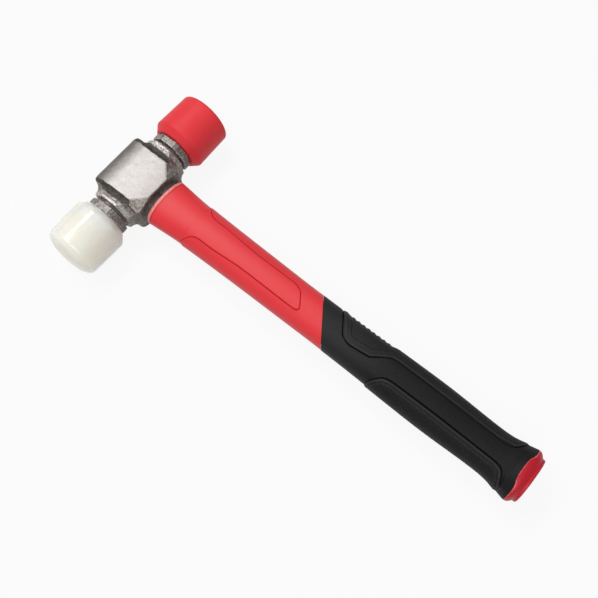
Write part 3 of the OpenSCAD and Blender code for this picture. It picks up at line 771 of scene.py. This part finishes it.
# A paler red for the painted highlight on the convex edges.
edge_highlight_red = (0.85, 0.22, 0.22, 1)
cast_urethane, place = new_finish("cast_urethane")
grain = place.noise(1900.0, detail=3.0)
blush = place.noise(80.0)
body_red = (blush * 0.6 + grain * 0.4).mix(*urethane_colours)
surface(place, {
    "Base Color": (place.kept("edges").rise(0.2, 0.9) * 0.35).mix(body_red, edge_highlight_red),
    "Roughness": 0.46 + blush * 0.12,
    "Specular IOR Level": 0.28,
    "Normal": grain.bump(0.00005),
})
urethane_tip.data.materials.append(cast_urethane)

# Studio: a plain white floor that fades into the background and keeps a faint shadow, under a
# light tent that is brightest overhead. A key lamp and a broad fill lamp light the hammer, and two
# strips and a small lamp give the streaks on the nylon and the gloss of the jacket.
floor_size = 40.0
floor_gap = 0.0002
floor_glow = 0.9
floor_grey = (0.62, 0.62, 0.62, 1)
pure_white = (1, 1, 1, 1)
sky_level = 0.16
sky_lift = 0.26
tent_lift = 0.16
tent_heading = (0.25, 0.48, 0.84)
tent_edge = (0.62, 0.98)
horizon = (0.01, 0.04)


def ray(start, kind):
    """1 for the rays of one kind, such as Camera, and 0 for the others."""
    return start.add("LightPath", {}, {}, f"Is {kind} Ray")


bpy.ops.object.select_all(action="DESELECT")
bpy.ops.mesh.primitive_plane_add(size=floor_size, location=(0, 0, -floor_gap))
floor = bpy.context.object
floor.name = "floor"
floor_white = bpy.data.materials.new("floor_white")
floor_white.use_nodes = True
floor_white.node_tree.nodes.clear()
paper = Shade(floor_white.node_tree)
lit = (ray(paper, "Camera") + ray(paper, "Glossy") + ray(paper, "Transmission")) * floor_glow
matt = paper.add("BsdfDiffuse", {}, {"Color": floor_grey})
glow = paper.add("Emission", {}, {"Color": pure_white, "Strength": 1.0})
sheet = paper.add("MixShader", {}, {0: lit, 1: matt, 2: glow})
paper.add("OutputMaterial", {}, {"Surface": sheet})
floor.data.materials.append(floor_white)

world = bpy.data.worlds.new("studio")
bpy.context.scene.world = world
world.use_nodes = True
world.node_tree.nodes.clear()
sky = Shade(world.node_tree)
heading = sky.add("TexCoord", {}, {}, "Generated")
height = heading.part("Z")
to_tent = (heading.part("X") * tent_heading[0] + heading.part("Y") * tent_heading[1]
           + height * tent_heading[2])
level = sky_level + height.rise(0.0, 1.0) * sky_lift + to_tent.rise(*tent_edge) * tent_lift
reflected = ray(sky, "Glossy") + ray(sky, "Transmission")
backdrop = ray(sky, "Camera") + reflected * height.fall(*horizon)
fill = sky.add("Background", {}, {"Color": pure_white, "Strength": level})
white = sky.add("Background", {}, {"Color": pure_white, "Strength": 1.0})
sky.add("OutputWorld", {}, {"Surface": sky.add("MixShader", {}, {0: backdrop, 1: fill, 2: white})})


def soft_lamp(name, location, target, width, length, power):
    """A lamp with a rectangular soft front that faces a point."""
    lamp = bpy.data.lights.new(name, "AREA")
    lamp.shape = "RECTANGLE"
    lamp.size = width
    lamp.size_y = length
    lamp.energy = power
    holder = bpy.data.objects.new(name, lamp)
    holder.location = location
    facing = Vector(target) - Vector(location)
    holder.rotation_euler = facing.to_track_quat("-Z", "Y").to_euler()
    bpy.context.scene.collection.objects.link(holder)


soft_lamp("key_lamp", location=(-0.19, 0.50, 1.0), target=(0, 0.03, 0),
          width=0.4, length=0.4, power=2.2)
soft_lamp("low_strip", location=(0.09, 0.647, 0.885), target=(-0.05, 0.129, 0.03),
          width=0.5, length=0.05, power=0.8)
soft_lamp("high_strip", location=(0.09, 0.520, 0.950), target=(-0.05, 0.129, 0.03),
          width=0.5, length=0.05, power=0.8)
soft_lamp("gloss_lamp", location=(0.27, 0.48, 0.98), target=(0, 0.09, 0.03),
          width=0.2, length=0.2, power=2.0)
soft_lamp("fill_lamp", location=(-0.55, -0.35, 0.95), target=(0, 0, 0),
          width=0.8, length=0.8, power=5.0)

# Camera: over the butt end of the handle, looking down along the hammer. It is turned about the
# vertical, tipped up from straight down, and rolled a little.
camera_place = (-0.12083, -0.100385, 0.45685)
camera_turn = -0.8462
camera_tip = 0.3621
camera_roll = -0.0397
camera_data = bpy.data.cameras.new("camera")
camera_data.sensor_width = 36.0
camera_data.lens = 50.57
camera = bpy.data.objects.new("camera", camera_data)
camera.matrix_world = (Matrix.Translation(camera_place) @ Matrix.Rotation(camera_turn, 4, "Z")
                       @ Matrix.Rotation(camera_tip, 4, "X")
                       @ Matrix.Rotation(camera_roll, 4, "Z"))
bpy.context.scene.collection.objects.link(camera)
bpy.context.scene.camera = camera
bpy.context.scene.view_settings.view_transform = "Standard"
